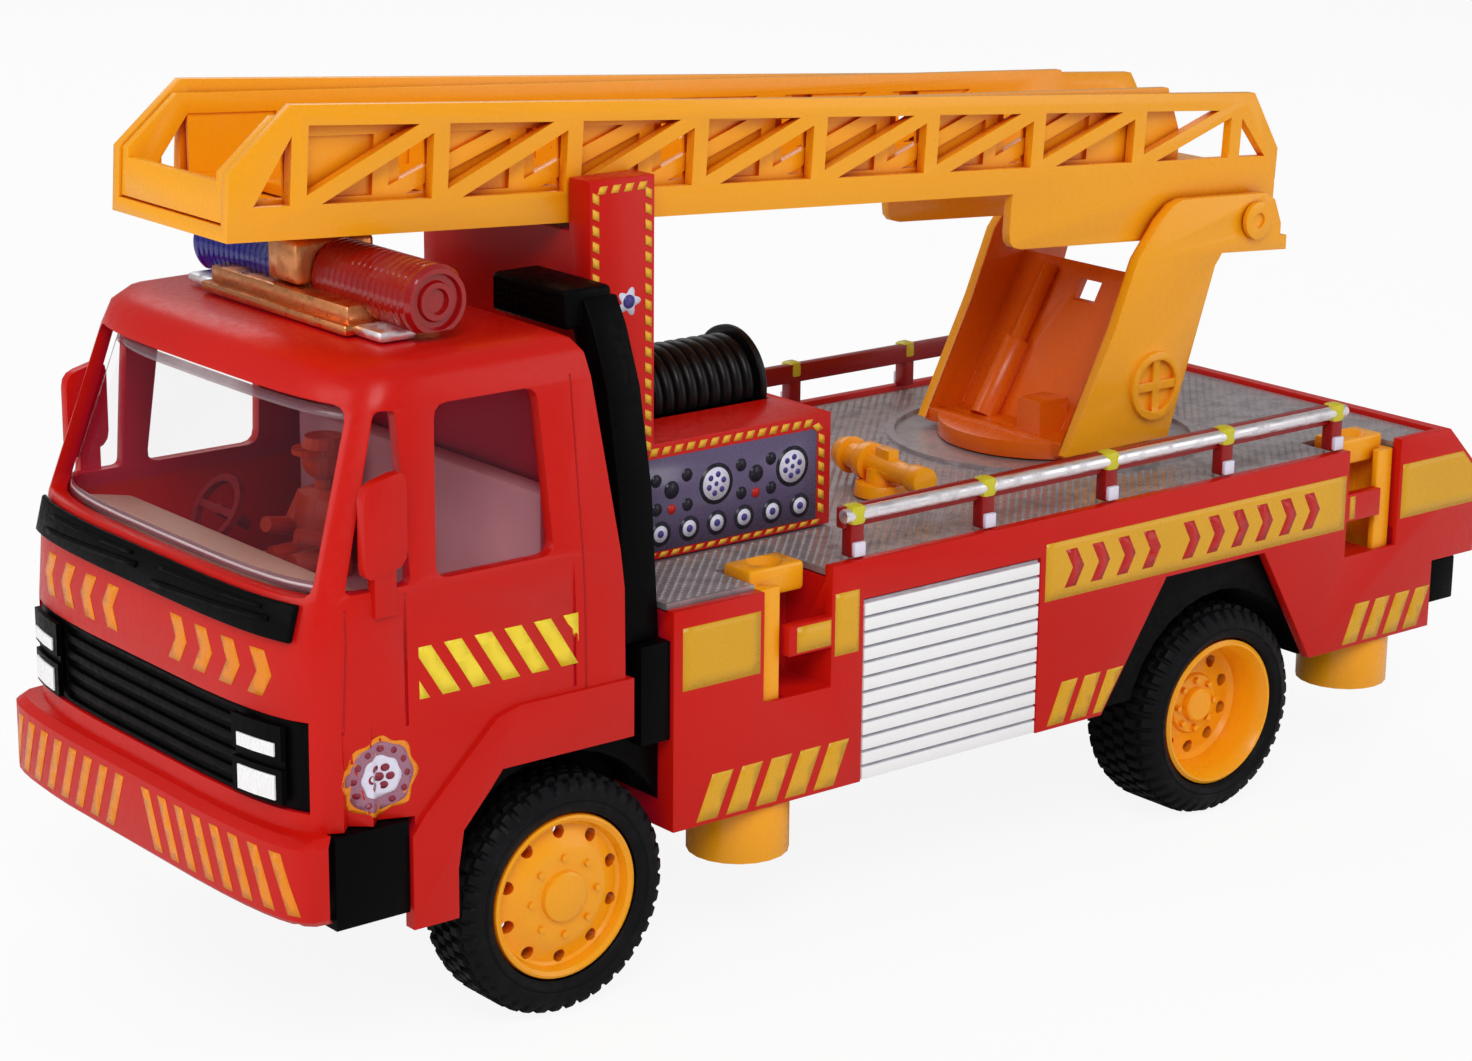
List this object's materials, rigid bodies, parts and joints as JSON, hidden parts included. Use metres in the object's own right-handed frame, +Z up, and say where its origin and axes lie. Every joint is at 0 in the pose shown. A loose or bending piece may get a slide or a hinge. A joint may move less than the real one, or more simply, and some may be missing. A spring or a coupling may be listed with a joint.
{
  "type": "toy fire engine",
  "caption": "Toy plastic fire engine with turning wheels, a turntable ladder that lifts and extends, and sliding side jacks",
  "frame": {"origin": "the middle of the truck's length and width, on the floor", "axes": "+X to the truck's rear, +Y to its right side, +Z up"},
  "size_m": [0.258, 0.0884, 0.1385],
  "materials": {
    "red_plastic": "glossy moulded red plastic",
    "yellow_plastic": "moulded amber yellow plastic",
    "black_plastic": "satin black plastic",
    "deck_silver": "silver coated tread plate of plastic",
    "chrome": "bright plated",
    "clear_plastic": "clear plastic, slightly smoky",
    "blue_lens": "see-through blue plastic",
    "red_lens": "see-through red plastic",
    "lamp_white": "white printed lamp",
    "shutter_white": "white moulded slats",
    "seat_plastic": "grey moulded plastic",
    "dash_plastic": "beige moulded plastic",
    "driver_plastic": "dark red moulded plastic",
    "tyre_black": "black soft plastic tyre"
  },
  "bodies": {
    "truck": {"chassis": "black_plastic", "tail_beam": "black_plastic", "cab_shell": "red_plastic", "cab_glazing": "clear_plastic", "grille": "black_plastic", "headlamps_left": "lamp_white", "headlamps_right": "lamp_white", "windscreen_trim": "black_plastic", "cab_interior": "seat_plastic", "dashboard": "dash_plastic", "steering_wheel": "black_plastic", "driver_figure": "driver_plastic", "light_bar_base": "chrome", "light_bar_centre": "chrome", "beacon_red": "red_lens", "beacon_blue": "blue_lens", "air_intake": "black_plastic", "rear_body": "red_plastic", "shutter_left": "shutter_white", "shutter_right": "shutter_white", "deck": "deck_silver", "side_rail_left": "red_plastic", "side_rail_right": "red_plastic", "ladder_rest": "red_plastic", "hose_reel": "black_plastic", "deck_monitor": "yellow_plastic"},
    "front_axle_set": {"front_axle": "chrome", "tyre_front_left": "tyre_black", "tyre_front_right": "tyre_black", "rim_front_left": "yellow_plastic", "rim_front_right": "yellow_plastic"},
    "rear_axle_set": {"rear_axle": "chrome", "tyre_rear_left": "tyre_black", "tyre_rear_right": "tyre_black", "rim_rear_left": "yellow_plastic", "rim_rear_right": "yellow_plastic"},
    "turntable": {"turret": "yellow_plastic", "ladder_pin": "yellow_plastic"},
    "ladder": {"ladder_base": "yellow_plastic"},
    "fly": {"ladder_fly": "yellow_plastic"},
    "front_left_jack": {"jack_front_left": "yellow_plastic"},
    "front_right_jack": {"jack_front_right": "yellow_plastic"},
    "rear_left_jack": {"jack_rear_left": "yellow_plastic"},
    "rear_right_jack": {"jack_rear_right": "yellow_plastic"}
  },
  "joints": [
    {"name": "front_wheels", "type": "hinge", "parent": "truck", "child": "front_axle_set", "pos_m": [-0.0797, 0, 0.019], "axis": [0, 1, 0], "continuous": true},
    {"name": "rear_wheels", "type": "hinge", "parent": "truck", "child": "rear_axle_set", "pos_m": [0.0631, 0, 0.019], "axis": [0, 1, 0], "continuous": true},
    {"name": "turntable_turn", "type": "hinge", "parent": "truck", "child": "turntable", "pos_m": [0.0595, 0, 0.0616], "axis": [0, 0, 1], "continuous": true},
    {"name": "ladder_raise", "type": "hinge", "parent": "turntable", "child": "ladder", "pos_m": [0.0917, 0, 0.1004], "axis": [0, 1, 0], "range_deg": [0, 65]},
    {"name": "fly_extend", "type": "slide", "parent": "ladder", "child": "fly", "axis": [-0.998, 0, 0.0628], "range_m": [0, 0.11]},
    {"name": "front_left_jack_lower", "type": "slide", "parent": "truck", "child": "front_left_jack", "axis": [0, 0, -1], "range_m": [0, 0.015]},
    {"name": "front_right_jack_lower", "type": "slide", "parent": "truck", "child": "front_right_jack", "axis": [0, 0, -1], "range_m": [0, 0.015]},
    {"name": "rear_left_jack_lower", "type": "slide", "parent": "truck", "child": "rear_left_jack", "axis": [0, 0, -1], "range_m": [0, 0.015]},
    {"name": "rear_right_jack_lower", "type": "slide", "parent": "truck", "child": "rear_right_jack", "axis": [0, 0, -1], "range_m": [0, 0.015]}
  ]
}
